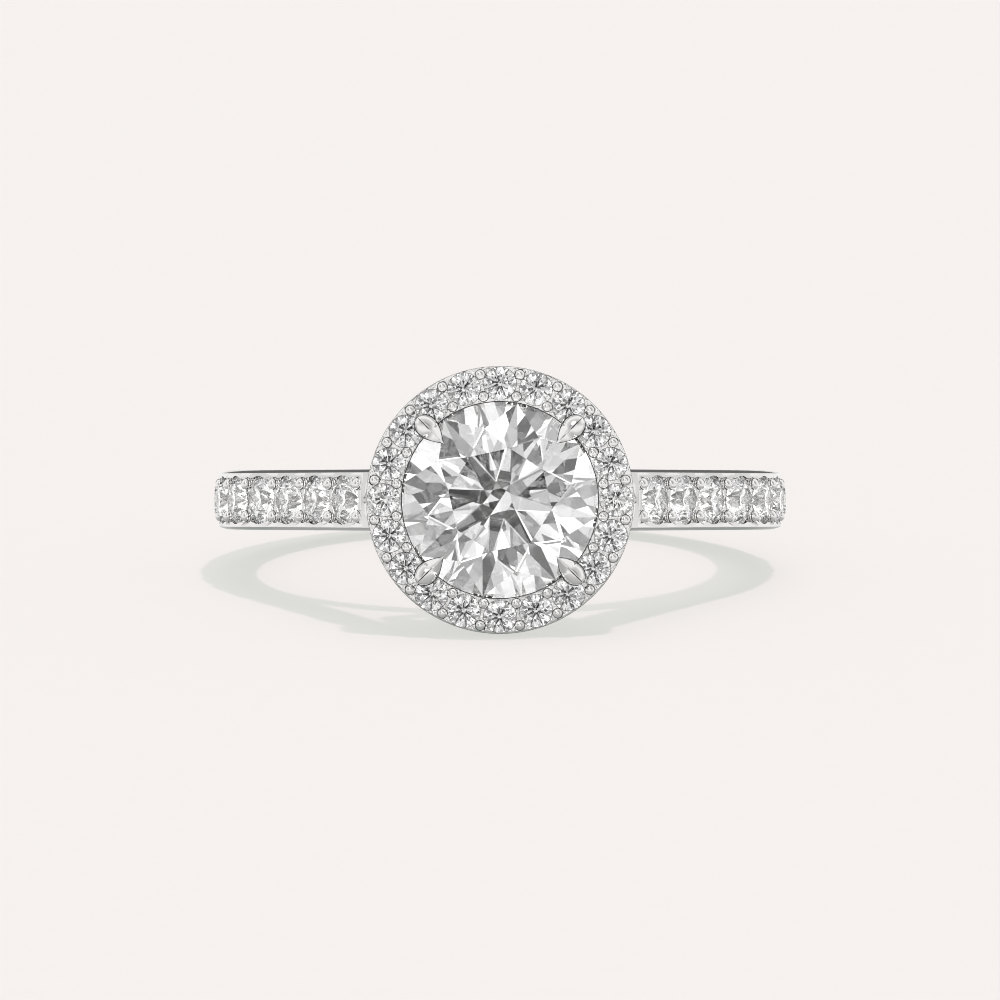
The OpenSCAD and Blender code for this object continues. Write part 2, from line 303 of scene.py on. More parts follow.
def finish_piece(thing, material, crease=30, nodes=("setting",)):
    """Lay the finished mesh down at rest in metres, hang it under the root, and hide its CAD
    parts.
    """
    mesh = thing.data
    mesh.transform(HEAD)
    if material is not None:
        mesh.materials.clear()
        mesh.materials.append(material)
    if crease:
        mesh.shade_smooth()
        mesh.set_sharp_from_angle(angle=math.radians(crease))
    else:
        mesh.shade_flat()
    mesh.update()
    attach(thing, "root")
    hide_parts(*nodes)
    mesh.calc_loop_triangles()
    print(f"{thing.name}: {len(mesh.loop_triangles)} triangles")


# %% The burr that opens a seat
BURR_TALL, BURR_POINT, BURR_STEPS = 0.6, 0.05, 48


def seat_tool(bm, place, d, depth_top, flare):
    """A cone for the pavilion, a cylinder for the girdle, and a bright rim."""
    r = d / 2 + FIT
    girdle, culet = -HALF_GIRDLE * d - FIT, -POINT_DEPTH * d - 2 * FIT
    profile = [(0, culet - BURR_POINT), (r, girdle), (r, FIT), (r + flare, depth_top),
               (r + flare, depth_top + BURR_TALL), (0, depth_top + BURR_TALL)]
    burr = bmesh.new()
    lathe(burr, profile, BURR_STEPS, closed=False)
    bmesh.ops.transform(burr, matrix=place, verts=burr.verts)
    gather(bm, burr)


# %% [markdown]
# ## The row down each shoulder
#
# The row runs straight down the arch and then round the shank. A length along it, counted from
# the foot of the shoulder, gives a place and a direction: above nought it is on the arch, below
# nought it bends round the finger.


# %% Places along the row
def row_frame(s, left=False):
    turn = SHOULDER + max(-s, 0) / (SHANK_R - CHANNEL_DEPTH)
    r = SHANK_R - CHANNEL_DEPTH - (SHOULDER_SET if s > 0 else 0)
    side = Matrix.Rotation(math.pi if left else 0, 4, "Z")
    return (side @ Matrix.Rotation(turn, 4, "Y")
            @ Matrix.Translation((-max(s, 0), 0, r)))


row_stops = [ROW_TOP - ROW_PITCH * (k + 0.5) for k in range(ROW_COUNT)]
print("stones at", [round(s, 2) for s in row_stops], "mm from the shoulder's foot")

# %% [markdown]
# ## Shank and shoulders
#
# On the real ring the shank is one bar, bent round and drawn up to the halo as two open arches.
# It could be lathed and trimmed, but then the arches would need a seam. Here one section is
# carried along the whole way, from one side of the halo round the back to the other. The
# section has the outer edges rounded by polishing and the channel that the graver opened for
# the stones. The channel closes to a point beside the halo, where two bright cuts meet.

# %% The channel along the row
# The cut at the back runs out over RUN_OUT. Beside the halo the channel starts to close, comes
# to its deepest at the point, and opens again as a wedge that rises towards the halo.
BACK_END, RUN_OUT, BACK_HALF = ROW_TOP - ROW_COUNT * ROW_PITCH - 0.1, 0.8, 0.04
CLOSE_AT, POINT_AT, POINT_HALF, POINT_DEEPER = 0.05, 0.41, 0.06, 0.17
WEDGE_LENGTH, WEDGE_HALF, WEDGE_RISE, WEDGE_FLARE = 0.45, 0.7, 0.2, 0.95


def channel_at(s):
    """Half width, depth and flare of the channel at a length along the row."""
    half, depth = CHANNEL_W / 2 + CHANNEL_FLARE, CHANNEL_DEPTH
    point = ROW_TOP + POINT_AT
    if s < BACK_END:
        share = max(0.0, 1 - (BACK_END - s) / RUN_OUT)
        return max(BACK_HALF, half * share), depth * min(1, 3 * share), CHANNEL_FLARE
    if s <= ROW_TOP + CLOSE_AT:
        return half, depth, CHANNEL_FLARE
    if s < point:
        share = (point - s) / (point - ROW_TOP - CLOSE_AT)
        wide = max(POINT_HALF, half * share)
        flare = CHANNEL_FLARE + (wide - CHANNEL_FLARE) * (1 - share)
        return wide, depth + POINT_DEEPER * (1 - share), flare
    share = min(1.0, (s - point) / WEDGE_LENGTH)
    wide = max(POINT_HALF, WEDGE_HALF * share)
    return wide, depth + POINT_DEEPER - WEDGE_RISE * share, WEDGE_FLARE * wide


# %% The section of the shank
# EDGE_BULGE says how full the outer edge is: 0 is a flat bevel and 1 a whole quarter round.
EDGE_BULGE, EDGE_STEPS = 0.4, 8
BORE_EDGE, BORE_STEPS = 0.15, 5
LEAST_FLOOR = 0.015


def shank_section(low, top, half, depth, flare):
    """Half a section from the middle of the floor round to the middle of the bore."""
    w = SHANK_W / 2
    floor = max(LEAST_FLOOR, half - flare)
    points = [(top - depth, floor / 2), (top - depth, floor), (top, half)]
    points.append((top, (half + w - EDGE_W) / 2))
    for k in range(EDGE_STEPS + 1):
        share, a = k / EDGE_STEPS, math.pi / 2 * k / EDGE_STEPS
        height = (1 - EDGE_BULGE) * (1 - share) + EDGE_BULGE * math.cos(a)
        reach = (1 - EDGE_BULGE) * share + EDGE_BULGE * math.sin(a)
        points.append((top - EDGE_H + EDGE_H * height, w - EDGE_W + EDGE_W * reach))
    for k in range(BORE_STEPS + 1):
        a = math.pi / 2 * k / BORE_STEPS
        points.append((low + BORE_EDGE - BORE_EDGE * math.sin(a),
                       w - BORE_EDGE + BORE_EDGE * math.cos(a)))
    points.append((low, w / 2))
    return points


def full_section(low, top, half, depth, flare):
    right = shank_section(low, top, half, depth, flare)
    left = [(r, -w) for r, w in reversed(right)]
    return [(top - depth, 0.0)] + right + [(low, 0.0)] + left


# %% Carry the section round
# The sections stand closest where the channel closes and the wedge opens. The arch is thinner
# than the round by FOOT_STEP, and past its foot the inside comes down to the bore over
# FOOT_LENGTH.
FOOT_STEP, FOOT_LENGTH = 0.22, 0.25
ROUND_STEPS = 84
arch_stops = [8.0, 7.6, 7.3, 7.17, 7.0, 6.9, 6.8, 6.72, 6.6, 6.5, 6.4, 6.36, 6.2]
arch_stops += [6.2 - 0.4 * k for k in range(1, 13)] + [1.2, 1.0, 0.8, 0.6, 0.4, 0.2, 0.0]
round_end = (math.pi - SHOULDER) * SHANK_R
stops = arch_stops + [-round_end * k / ROUND_STEPS for k in range(1, ROUND_STEPS + 1)]


def shank_ring(s, mirror):
    """The section at a length along the row, set in its place."""
    if s > 0:
        out = math.sin(SHOULDER), math.cos(SHOULDER)
        start = -math.cos(SHOULDER) * s, math.sin(SHOULDER) * s
        top = max(SHANK_R - SHOULDER_SET, math.sqrt(SHANK_R ** 2 - s ** 2))
        low = SHANK_R - SHOULDER_SET - SHOULDER_WALL
    else:
        a = SHOULDER - s / SHANK_R
        out, start = (math.sin(a), math.cos(a)), (0, 0)
        top, low = SHANK_R, FINGER_R + FOOT_STEP * max(0, 1 + s / FOOT_LENGTH)
    ring = []
    for r, w in full_section(low, top - POLISHED_OFF, *channel_at(s)):
        x, h = start[0] + out[0] * r, start[1] + out[1] * r
        ring.append((-x if mirror else x, w, h))
    return ring


bm = bmesh.new()
rings = [shank_ring(s, False) for s in stops] + [shank_ring(s, True) for s in stops[-2::-1]]
close_ends(bm, skin(bm, rings))
shank = raw_object("shank", bm)
print("the shank has", len(rings), "sections of", len(rings[0]), "points")

# %% [markdown]
# ## Seats in the shank
#
# A burr opens one seat for each stone, and the rail is then rubbed over its edge. Between two
# stones a flat graver lifts the metal for the beads with a slanting three-sided cut. A bump in
# the material would be quicker, but it never shows the crisp edges that these tools leave.

# %% Open the seats
bm = bmesh.new()
for left in (False, True):
    for s in row_stops:
        seat_tool(bm, row_frame(s, left), ROW_D, CHANNEL_DEPTH, RAIL_LIP)
carve(shank, raw_object("row_burr", bm))

# %% Cut between the stones
# The corners of one cut: along the row, across it, and height.
GRAVER_CUT = ((-0.42, 0.93, 0.125), (0.42, 0.93, 0.125), (0.0, 0.62, -0.02))
GRAVER_TOP = 0.5
bm = bmesh.new()
for left in (False, True):
    for k in range(ROW_COUNT + 1):
        place = row_frame(ROW_TOP - k * ROW_PITCH, left)
        for side in (-1, 1):
            low = [bm.verts.new(place @ Vector((x, w * side, h))) for x, w, h in GRAVER_CUT]
            high = [bm.verts.new(place @ Vector((x, w * side, GRAVER_TOP)))
                    for x, w, _ in GRAVER_CUT]
            bm.faces.new(low)
            bm.faces.new(high[::-1])
            for i in range(3):
                j = (i + 1) % 3
                bm.faces.new([low[j], low[i], high[i], high[j]])
bmesh.ops.recalc_face_normals(bm, faces=bm.faces)
carve(shank, raw_object("flat_graver", bm))
finish_piece(shank, WHITE_GOLD)

# %% [markdown]
# ## Finger rail
#
# Under the head the finger is closed by a thin rail, bent to the bore. Its ends run into the
# shank, where the solder joint is filed flush.

# %% Bend the rail
# Over RAIL_END the rail tucks in on its inside, its outside and its edges.
RAIL_END, RAIL_STEPS = math.radians(2.5), 80
RAIL_CORNER, CORNER_STEPS = 0.13, 4
RAIL_INSET, TUCK_IN, TUCK_OUT, TUCK_EDGE = 0.004, 0.15, 0.1, 0.05
rail_span = SHOULDER + RAIL_END
rings = []
for k in range(RAIL_STEPS + 1):
    a = -rail_span + 2 * rail_span * k / RAIL_STEPS
    tuck = max(0.0, (abs(a) - SHOULDER) / (rail_span - SHOULDER))
    low, high = FINGER_R + TUCK_IN * tuck, RAIL_R + TUCK_OUT * tuck
    w = SHANK_W / 2 - RAIL_INSET - TUCK_EDGE * tuck
    section = []
    for corner, (r, across) in enumerate(((high, w), (low, w), (low, -w), (high, -w))):
        mid_r = r - math.copysign(RAIL_CORNER, r - (low + high) / 2)
        mid_w = across - math.copysign(RAIL_CORNER, across)
        for j in range(CORNER_STEPS + 1):
            q = math.pi / 2 * (corner + j / CORNER_STEPS)
            section.append((mid_r + RAIL_CORNER * math.cos(q), mid_w + RAIL_CORNER * math.sin(q)))
    rings.append([(math.sin(a) * r, across, math.cos(a) * r) for r, across in section])
bm = bmesh.new()
close_ends(bm, skin(bm, rings))
finish_piece(raw_object("finger_rail", bm), WHITE_GOLD)

# %% [markdown]
# ## Halo plate
#
# The halo is a turned collar. Its hole is opened to a bearing that carries the centre stone's
# girdle, its upper rims are burnished round, and a burr opens one seat for each small stone.
# Each face of the collar takes the finish that its own tool leaves, and two thin bands take a
# painted shade.

# %% Turn the collar
# Radius and height: up from the hole's lower edge, round the outside, over the rim, and down
# into the bearing.
BEARING_W, BEARING_SLOPE = 0.05, 2 * 0.43
RIM_H = PLATE_TOP - 0.14
bearing_r, bearing_h = CENTRE_D / 2 + 1.5 * FIT, GIRDLE_H - HALF_GIRDLE * CENTRE_D - FIT
profile = [
    (PLATE_HOLE_R, PLATE_LOW + 0.06), (PLATE_HOLE_R + 0.06, PLATE_LOW),
    (HALO_R - 0.15, PLATE_LOW), (HALO_R - 0.11, PLATE_LOW + 0.02),
    (HALO_R - 0.02, PLATE_LOW + 0.11), (HALO_R, PLATE_LOW + 0.15), (HALO_R, RIM_H),
    (HALO_R - 0.012, PLATE_TOP - 0.06), (HALO_R - 0.06, PLATE_TOP),
    (bearing_r + 0.05, PLATE_TOP), (bearing_r, PLATE_TOP - 0.025),
    (bearing_r, bearing_h), (bearing_r - BEARING_W, bearing_h),
    (bearing_r - BEARING_W, bearing_h - BEARING_W * BEARING_SLOPE),
    (PLATE_HOLE_R, bearing_h - (bearing_r - PLATE_HOLE_R) * BEARING_SLOPE),
]
bm = bmesh.new()
lathe(bm, profile, 240)

# %% Give each face its tool's finish, and painted shade in the gap and on the rim
# The bearing's gap and the outer edge of the rim are dull and painted dark, a painted shade
# line; the wall and the underside are polished on the wheel, and the top is bright cut.
BRIGHT_CUT, DULL_PAINTED_SHADE, POLISHED = 0, 1, 2
NEAR = 0.001
for face in bm.faces:
    middle = face.calc_center_median()
    across = math.hypot(middle.x, middle.y)
    in_gap = (bearing_r - BEARING_W - NEAR < across < bearing_r + NEAR
              and middle.z > bearing_h - NEAR)
    on_rim = across > HALO_R - 0.011 and middle.z > RIM_H
    outside = across > HALO_R - 0.16 and middle.z < RIM_H or middle.z < PLATE_LOW + 0.01
    # The gap and the rim's outer edge take the dark gold: painted shade.
    face.material_index = DULL_PAINTED_SHADE if in_gap or on_rim else POLISHED if outside else BRIGHT_CUT
halo_plate = raw_object("halo_plate", bm, SEAT_GOLD, DULL_GOLD_PAINTED_SHADE, WHITE_GOLD)

# %% Open its seats
SEAT_DEPTH = 0.05
bm = bmesh.new()
for k in range(HALO_COUNT):
    turn = math.pi / 2 + 2 * math.pi * k / HALO_COUNT
    seat = Matrix.Rotation(turn, 4, "Z") @ Matrix.Translation((HALO_C, 0, PLATE_TOP))
    seat_tool(bm, seat, HALO_STONE_D, SEAT_DEPTH, 0.0)
carve(halo_plate, raw_object("halo_burr", bm))
finish_piece(halo_plate, None)

# %% [markdown]
# ## Basket
#
# Under the collar stands the basket: four round wires that spread from the rail to the halo,
# and a gallery wire soldered round them. A wire follows a path, so a small node tree draws it:
# it rounds the bend, carries a circle along, and closes the ends.

# %% Helpers for node trees
def new_tree(name, sizes):
    tree = bpy.data.node_groups.new(name, "GeometryNodeTree")
    tree.interface.new_socket("Geometry", in_out="INPUT", socket_type="NodeSocketGeometry")
    for label, kind, value in sizes:
        socket = tree.interface.new_socket(label, in_out="INPUT", socket_type=kind)
        if value is not None:
            socket.default_value = value
    tree.interface.new_socket("Geometry", in_out="OUTPUT", socket_type="NodeSocketGeometry")
    return tree, add(tree, "NodeGroupInput").outputs


def close_tree(tree, geometry, material):
    real = add(tree, "GeometryNodeRealizeInstances", {}, {"Geometry": geometry})
    coat = add(tree, "GeometryNodeSetMaterial", {}, {
        "Geometry": real.outputs["Geometry"], "Material": material})
    add(tree, "NodeGroupOutput", {}, {"Geometry": coat.outputs["Geometry"]})


def grow(thing, tree, values):
    """Run a node tree on an object and keep its result as a plain mesh."""
    modifier = thing.modifiers.new(tree.name, "NODES")
    modifier.node_group = tree
    for item in tree.interface.items_tree:
        if item.in_out == "INPUT" and item.name in values:
            modifier[item.identifier] = values[item.name]
    return applied(thing)


FLOAT, WHOLE, STUFF = "NodeSocketFloat", "NodeSocketInt", "NodeSocketMaterial"

# %% The tree that draws wire
wire_tree, size = new_tree("bent_wire", [
    ("Wire diameter", FLOAT, 0.7), ("Bend radius", FLOAT, 0.5), ("Finish", STUFF, None)])
path = add(wire_tree, "GeometryNodeMeshToCurve", {}, {"Mesh": size["Geometry"]})
bend = add(wire_tree, "GeometryNodeFilletCurve", {"mode": "POLY"}, {
    "Curve": path.outputs["Curve"], "Count": 10, "Radius": size["Bend radius"],
    "Limit Radius": True})
half = add(wire_tree, "ShaderNodeMath", {"operation": "MULTIPLY"}, {
    0: size["Wire diameter"], 1: 0.5})
ring = add(wire_tree, "GeometryNodeCurvePrimitiveCircle", {}, {
    "Resolution": 24, "Radius": half.outputs["Value"]})
tube = add(wire_tree, "GeometryNodeCurveToMesh", {}, {
    "Curve": bend.outputs["Curve"], "Profile Curve": ring.outputs["Curve"], "Fill Caps": True})
close_tree(wire_tree, tube.outputs["Mesh"], size["Finish"])

# %% Prongs and gallery wire
# The way of a prong as radius and height: from the rail, past the gallery wire, to its claw.
PRONG_TURNS = [math.radians(a) for a in (45, 135, 225, 315)]
GALLERY_H = 10.05
PRONG_WAY = ((0.95, 8.67), (PLATE_HOLE_R, GALLERY_H), (3.51, 12.1))
PRONG_D, PRONG_BEND, GALLERY_D = 0.7, 0.9, 0.66
bm = bmesh.new()
for a in PRONG_TURNS:
    dots = [bm.verts.new((r * math.cos(a), r * math.sin(a), h)) for r, h in PRONG_WAY]
    for one, two in zip(dots, dots[1:]):
        bm.edges.new((one, two))
prongs = grow(raw_object("prongs", bm), wire_tree, {
    "Wire diameter": PRONG_D, "Bend radius": PRONG_BEND, "Finish": WHITE_GOLD})
finish_piece(prongs, WHITE_GOLD, crease=50)

bm = bmesh.new()
bmesh.ops.create_circle(bm, segments=120, radius=PLATE_HOLE_R)
bmesh.ops.translate(bm, vec=(0, 0, GALLERY_H), verts=bm.verts)
gallery = grow(raw_object("gallery_wire", bm), wire_tree, {
    "Wire diameter": GALLERY_D, "Bend radius": 0.0, "Finish": WHITE_GOLD})
finish_piece(gallery, WHITE_GOLD, crease=50)

# %% [markdown]
# ## Claws
#
# Each prong ends in a claw that is filed to a teardrop and pressed over the stone's edge: full
# and round at the outer end, with a ridge that runs out to a point over the crown. A subdivided
# cage would soften the ridge, so the form is lofted from many sections, and the room of the
# stone is then cut away under it. Along its foot and its ridge the metal is dull and painted
# dark: a painted shade line.

# %% Sizes of a claw
# It reaches from CLAW_FAR in to CLAW_NEAR. Along it, u goes from 0 at the round end to 1 at the
# point. It is full at FULL_AT, and from FILED_AT on its roof is filed to a ridge.
CLAW_FAR, CLAW_NEAR, CLAW_W, CLAW_PITCH = 3.88, 2.63, 0.76, 0.72
FULL_AT, TAPER, POINT_W = 0.36, 1.7, 0.012
CLAW_LOW, CLAW_OVER, CLAW_FOOT, CLAW_ROOT = 0.24, 0.025, 0.04, -0.2
FILED_AT, FILED_OVER, RIDGE_SHARE, RIDGE_MORE, RIDGE_SOFT = 0.46, 0.08, 0.35, 0.60, 0.15
BEVEL_SHARE, BEVEL_W = 0.6, 0.036
LINE_DEEP, LINE_HALF, LINE_START = 0.03, 0.022, 6
ACROSS = (0, 0.055, 0.10, 0.15, 0.22, 0.36, 0.5, 0.64, 0.77, 0.88, 0.95, 0.985, 1.0)
CLAW_STEPS = 36

# The room that a claw leaves for the centre stone: half its table and its crown, as shares of
# the stone's diameter.
ROOM_TABLE, ROOM_CROWN = 0.28, 0.16
ROOM_SLOPE = ROOM_CROWN / (0.5 - ROOM_TABLE)


# %% One section of a claw
def claw_ring(u):
    """The points of a section, from one foot over the ridge to the other."""
    r = CLAW_FAR + (CLAW_NEAR - CLAW_FAR) * u
    swell = math.sqrt(max(0.0, 1 - max(0.0, 1 - u / FULL_AT) ** 2))
    taper = 1 - max(0.0, (u - FULL_AT) / (1 - FULL_AT)) ** TAPER
    wide = max(POINT_W, CLAW_W / 2 * swell * taper)
    inner = max(BEVEL_SHARE * wide, wide - BEVEL_W)
    rise = (CENTRE_D / 2 + FIT - r) * ROOM_SLOPE
    side = max(CLAW_LOW, GIRDLE_H - PLATE_TOP + rise + FIT + CLAW_OVER)
    top = side + CLAW_PITCH * wide
    filed = min(1.0, max(0.0, (u - FILED_AT) / FILED_OVER))
    roof = RIDGE_SHARE + RIDGE_MORE * filed
    points = []
    for x in ACROSS[::-1] + tuple(-x for x in ACROSS[1:]):
        dome = math.sqrt(max(0.0, 1 - x * x))
        crest = 1 - (math.sqrt(x * x + RIDGE_SOFT ** 2) - RIDGE_SOFT) / (
            math.sqrt(1 + RIDGE_SOFT ** 2) - RIDGE_SOFT)
        line = LINE_DEEP * max(0.0, 1 - abs(x * inner) / LINE_HALF) * min(1.0, LINE_START * u)
        bulge = dome * (1 - roof) + crest * roof
        points.append((inner * x, side + (top - side) * bulge - line))
    foot = [(wide, CLAW_ROOT), (wide, side - CLAW_FOOT)]
    outline = foot + points + [(-w, h) for w, h in reversed(foot)]
    return [(r, w, PLATE_TOP + h) for w, h in outline]


# %% Loft the claws
# The painted shade lines, dark on dull metal, follow the foot on both sides and the round part of
# the ridge.
RIDGE, ROUND_PART = 1 + len(ACROSS), slice(2, 17)
rings = [claw_ring((1 - math.cos(math.pi * k / CLAW_STEPS)) / 2) for k in range(CLAW_STEPS + 1)]
bm = bmesh.new()
for a in PRONG_TURNS:
    part = bmesh.new()
    rows = skin(part, rings)
    shade_line = {row[k] for row in rows for k in (1, -2)} | {row[RIDGE] for row in rows[ROUND_PART]}
    # Faces that touch these lines take the dark gold, a painted shade.
    for face in part.faces:
        face.material_index = int(any(vert in shade_line for vert in face.verts))
    close_ends(part, rows)
    bmesh.ops.transform(part, matrix=Matrix.Rotation(a, 4, "Z"), verts=part.verts)
    gather(bm, part)
claws = raw_object("claws", bm, WHITE_GOLD, DULL_GOLD_PAINTED_SHADE)

# %% Make room for the stones under them
ROOM_DEPTH, ROOM_CYLINDER = 3, 0.18
NEXT_DEPTH, NEXT_CYLINDER = 0.6, 0.05
r, table = CENTRE_D / 2, ROOM_TABLE * CENTRE_D
crown = GIRDLE_H + (r - table) * ROOM_SLOPE + FIT
bm = bmesh.new()
lathe(bm, [(0, GIRDLE_H - ROOM_DEPTH), (r + FIT, GIRDLE_H - ROOM_CYLINDER),
           (r + FIT, GIRDLE_H + FIT), (table + FIT, crown), (0, crown)], 192, closed=False)
carve(claws, raw_object("stone_room", bm))

r, crown = HALO_STONE_D / 2, CROWN * HALO_STONE_D + FIT
bm = bmesh.new()
for a in PRONG_TURNS:
    for step in (-0.5, 0.5):
        space = bmesh.new()
        lathe(space, [(0, -NEXT_DEPTH), (r + FIT, -NEXT_CYLINDER), (r + FIT, FIT),
                      (TABLE * r + FIT, crown), (0, crown)], 48, closed=False)
        turn = Matrix.Rotation(a + step * 2 * math.pi / HALO_COUNT, 4, "Z")
        place = turn @ Matrix.Translation((HALO_C, 0, PLATE_TOP))
        bmesh.ops.transform(space, matrix=place, verts=space.verts)
        gather(bm, space)
carve(claws, raw_object("neighbours_room", bm))
finish_piece(claws, None, crease=28)

# %% [markdown]
# ## Beads
#
# A graver raises a grain of metal beside each stone, and a beading tool rounds it and presses
# it over the girdle. All beads are alike, so one is made and node trees place it: round the
# head, and down the row. The bead by each claw is left out on the inside.

# %% One bead
# The dome is DOME_TALL of its radius high. The tool's rim leaves a groove round it.
DOME_TALL, DOME_FOOT, DOME_ROOT, DOME_STEPS = 0.9, 0.02, 0.08, 8
GROOVE_W, GROOVE_EDGE, GROOVE_GAP = 0.018, 0.012, 0.002


def bead(bm, d, at, groove=False):
    """A dome, or the groove that the rim of the beading tool leaves round it."""
    r = d / 2
    dome_r = r - GROOVE_W
    if groove:
        profile = [(0, 0.0), (dome_r + GROOVE_GAP, 0.0), (r, GROOVE_EDGE), (r, 0.0), (0, -0.01)]
    else:
        tall = DOME_TALL * dome_r
        profile = [(0, tall)]
        for k in range(1, DOME_STEPS + 1):
            a = math.pi / 2 * k / DOME_STEPS
            profile.append((dome_r * math.sin(a), DOME_FOOT + (tall - DOME_FOOT) * math.cos(a)))
        profile += [(dome_r, -DOME_ROOT), (0, -DOME_ROOT - 0.01)]
    dome = bmesh.new()
    lathe(dome, profile, 20, closed=False)
    bmesh.ops.translate(dome, vec=at, verts=dome.verts)
    gather(bm, dome)


# %% [markdown]
# ### Two trees that set things
#
# Beads and stones stand in the same two patterns: round the head, and down both rows. Each is
# one tree with its sizes as inputs. The first sums work out a place and a turn for each index,
# and the thing that comes in is set there. The second part is the same in both: it can turn and
# lean each thing a little, by a fixed random amount, as a setter's hand does.


# %% A tree that sets things in a pattern
def pattern(name, sizes, sums):
    """A sum is its result, the operation, and what goes in: an input, a result or a number."""
    tree, size = new_tree(name, sizes + [
        ("Most spin", FLOAT, 0.0), ("Most lean", FLOAT, 0.0), ("Seed", WHOLE, 3),
        ("Finish", STUFF, None)])
    known = {"index": add(tree, "GeometryNodeInputIndex").outputs["Index"], **dict(size.items())}
    for result, operation, *terms in sums:
        known[result] = add(tree, "ShaderNodeMath", {"operation": operation}, {
            k: known.get(term, term) for k, term in enumerate(terms)}).outputs["Value"]
    spot = add(tree, "ShaderNodeCombineXYZ", {}, {
        "X": known["X"], "Y": known.get("Y", 0.0), "Z": known["Height"]})
    facing = add(tree, "ShaderNodeCombineXYZ", {}, {
        "Y": known.get("Tip", 0.0), "Z": known["Turn"]})
    dots = add(tree, "GeometryNodePoints", {}, {"Count": known["Count"]})
    placed = add(tree, "GeometryNodeSetPosition", {}, {
        "Geometry": dots.outputs["Points"], "Position": spot.outputs["Vector"]})
    put = add(tree, "GeometryNodeInstanceOnPoints", {}, {
        "Points": placed.outputs["Geometry"], "Selection": known.get("Kept", True),
        "Instance": size["Geometry"], "Rotation": facing.outputs["Vector"]})
    spin = add(tree, "FunctionNodeRandomValue", {"data_type": "FLOAT"}, {
        "Max": size["Most spin"], "Seed": size["Seed"]})
    lean = add(tree, "FunctionNodeRandomValue", {"data_type": "FLOAT_VECTOR"}, {
        "Min": (-1, -1, 0), "Max": (1, 1, 0), "Seed": size["Seed"]})
    lean = add(tree, "ShaderNodeVectorMath", {"operation": "SCALE"}, {
        "Vector": lean.outputs["Value"], "Scale": size["Most lean"]})
    twist = add(tree, "ShaderNodeCombineXYZ", {}, {"Z": spin.outputs[1]})
    both = add(tree, "ShaderNodeVectorMath", {"operation": "ADD"}, {
        0: lean.outputs["Vector"], 1: twist.outputs["Vector"]})
    turned = add(tree, "GeometryNodeRotateInstances", {}, {
        "Instances": put.outputs["Instances"], "Rotation": both.outputs["Vector"]})
    close_tree(tree, turned.outputs["Instances"], size["Finish"])
    print(name, "has", len(tree.nodes), "nodes")
    return tree


# %% Round the head
# One slot in every so many can be left out.
head_tree = pattern("round_the_head", [
    ("Count", WHOLE, 20), ("Radius", FLOAT, 3.86), ("Height", FLOAT, 12.38),
    ("First angle", FLOAT, math.pi / 2), ("Left out every", WHOLE, 100),
    ("Left out slot", WHOLE, 99),
], (
    ("step", "DIVIDE", 2 * math.pi, "Count"),
    ("Turn", "MULTIPLY_ADD", "index", "step", "First angle"),
    ("cosine", "COSINE", "Turn"), ("X", "MULTIPLY", "cosine", "Radius"),
    ("sine", "SINE", "Turn"), ("Y", "MULTIPLY", "sine", "Radius"),
    ("slot", "MODULO", "index", "Left out every"),
    ("left out", "COMPARE", "slot", "Left out slot", 0.1), ("Kept", "SUBTRACT", 1.0, "left out"),
))

# %% Down both rows
# The sums are those of `row_frame`. The left side comes after the right one, and is the right
# one turned half round.
row_tree = pattern("down_the_row", [
    ("Count a side", WHOLE, 8), ("Pitch", FLOAT, 1.82), ("Start", FLOAT, 6.31),
    ("Row radius", FLOAT, 9.75), ("Shoulder angle", FLOAT, 1.0), ("Arch drop", FLOAT, 0.03),
], (
    ("Count", "MULTIPLY", "Count a side", 2.0),
    ("last", "SUBTRACT", "Count a side", 0.5), ("left", "GREATER_THAN", "index", "last"),
    ("passed", "MULTIPLY", "left", "Count a side"), ("place", "SUBTRACT", "index", "passed"),
    ("way", "MULTIPLY", "place", "Pitch"), ("length", "SUBTRACT", "Start", "way"),
    ("on arch", "GREATER_THAN", "length", 0.0), ("up", "MAXIMUM", "length", 0.0),
    ("below", "MULTIPLY", "length", -1.0), ("down", "MAXIMUM", "below", 0.0),
    ("bent", "DIVIDE", "down", "Row radius"), ("Tip", "ADD", "Shoulder angle", "bent"),
    ("set in", "MULTIPLY", "on arch", "Arch drop"), ("out", "SUBTRACT", "Row radius", "set in"),
    ("sine", "SINE", "Tip"), ("cosine", "COSINE", "Tip"),
    ("out sine", "MULTIPLY", "out", "sine"), ("up cosine", "MULTIPLY", "up", "cosine"),
    ("out cosine", "MULTIPLY", "out", "cosine"), ("up sine", "MULTIPLY", "up", "sine"),
    ("x", "SUBTRACT", "out sine", "up cosine"), ("Height", "ADD", "out cosine", "up sine"),
    ("twice left", "MULTIPLY", "left", 2.0), ("side", "SUBTRACT", 1.0, "twice left"),
    ("X", "MULTIPLY", "x", "side"), ("Turn", "MULTIPLY", "left", math.pi),
))
